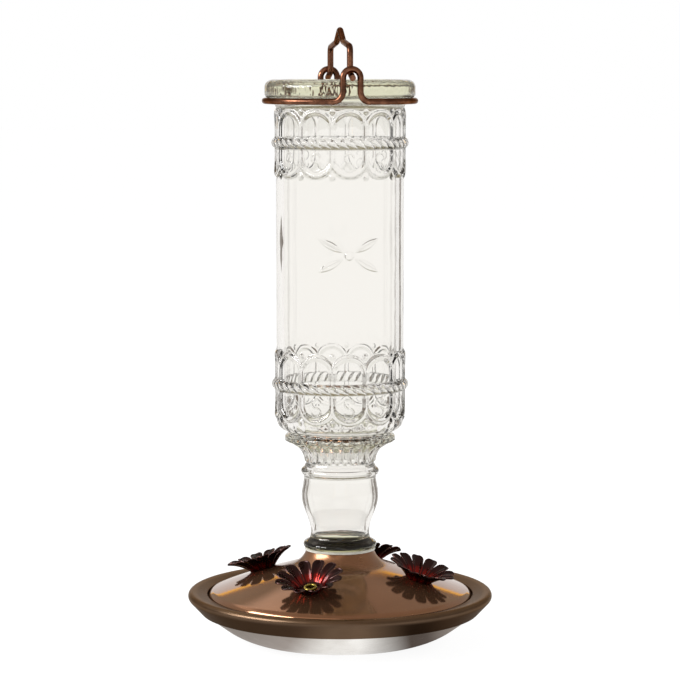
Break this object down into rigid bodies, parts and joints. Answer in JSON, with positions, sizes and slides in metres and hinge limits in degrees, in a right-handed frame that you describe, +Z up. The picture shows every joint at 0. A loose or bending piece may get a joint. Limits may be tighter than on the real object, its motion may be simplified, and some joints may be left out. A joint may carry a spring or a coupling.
{
  "type": "hummingbird feeder",
  "caption": "Hanging nectar feeder: an upside-down moulded glass bottle screwed into a round copper tray with flower feeding ports and a wire hanger.",
  "frame": {"origin": "centre of the bowl's flat bottom, where the feeder stands", "axes": "+Z up the bottle's axis, +Y from the front loop of the wire collar to the rear loop, which is the bail's swing axis, +X to the right"},
  "size_m": [0.13, 0.13, 0.2606],
  "materials": {
    "clear_glass": "clear moulded glass with a faint green tint where it is thick",
    "copper_wire": "satin antique copper wire",
    "copper_cover": "polished and lacquered copper",
    "bronze_ring": "satin dark bronze paint",
    "steel_bowl": "polished steel",
    "flower_enamel": "glossy dark red translucent enamel",
    "eyelet_brass": "bright brass",
    "washer_steel": "plain steel",
    "socket_plastic": "black moulded plastic",
    "clear_seal": "pale translucent silicone",
    "rubber_seal": "black rubber"
  },
  "bodies": {
    "bowl": {"nectar_bowl": "steel_bowl"},
    "bowl_gasket": {"bowl_seal": "rubber_seal"},
    "base": {"rim_ring": "bronze_ring", "base_cover": "copper_cover", "bottle_socket": "socket_plastic", "flower_1": "flower_enamel", "port_eyelet_1": "eyelet_brass", "port_washer_1": "washer_steel", "flower_2": "flower_enamel", "port_eyelet_2": "eyelet_brass", "port_washer_2": "washer_steel", "flower_3": "flower_enamel", "port_eyelet_3": "eyelet_brass", "port_washer_3": "washer_steel", "flower_4": "flower_enamel", "port_eyelet_4": "eyelet_brass", "port_washer_4": "washer_steel"},
    "neck_gasket": {"neck_seal": "clear_seal"},
    "bottle": {"glass_bottle": "clear_glass", "wire_collar": "copper_wire"},
    "bail": {"hanging_bail": "copper_wire"}
  },
  "joints": [
    {"name": "base_lift", "type": "slide", "parent": "bowl", "child": "bowl_gasket", "axis": [0, 0, 1], "range_m": [0, 0.0051]},
    {"name": "base_turn", "type": "hinge", "parent": "bowl_gasket", "child": "base", "pos_m": [0, 0, 0.0166], "axis": [0, 0, 1], "range_deg": [0, 450]},
    {"name": "bottle_lift", "type": "slide", "parent": "base", "child": "neck_gasket", "axis": [0, 0, 1], "range_m": [0, 0.0061]},
    {"name": "bottle_turn", "type": "hinge", "parent": "neck_gasket", "child": "bottle", "pos_m": [0, 0, 0.03984], "axis": [0, 0, 1], "range_deg": [0, 540]},
    {"name": "bail_swing", "type": "hinge", "parent": "bottle", "child": "bail", "pos_m": [0, 0, 0.24028], "axis": [0, 1, 0], "range_deg": [-88, 88]}
  ],
  "couplings": [
    {"joint": "base_lift", "follows": "base_turn", "m_per_rad": 0.00063662},
    {"joint": "bottle_lift", "follows": "bottle_turn", "m_per_rad": 0.00063662}
  ]
}
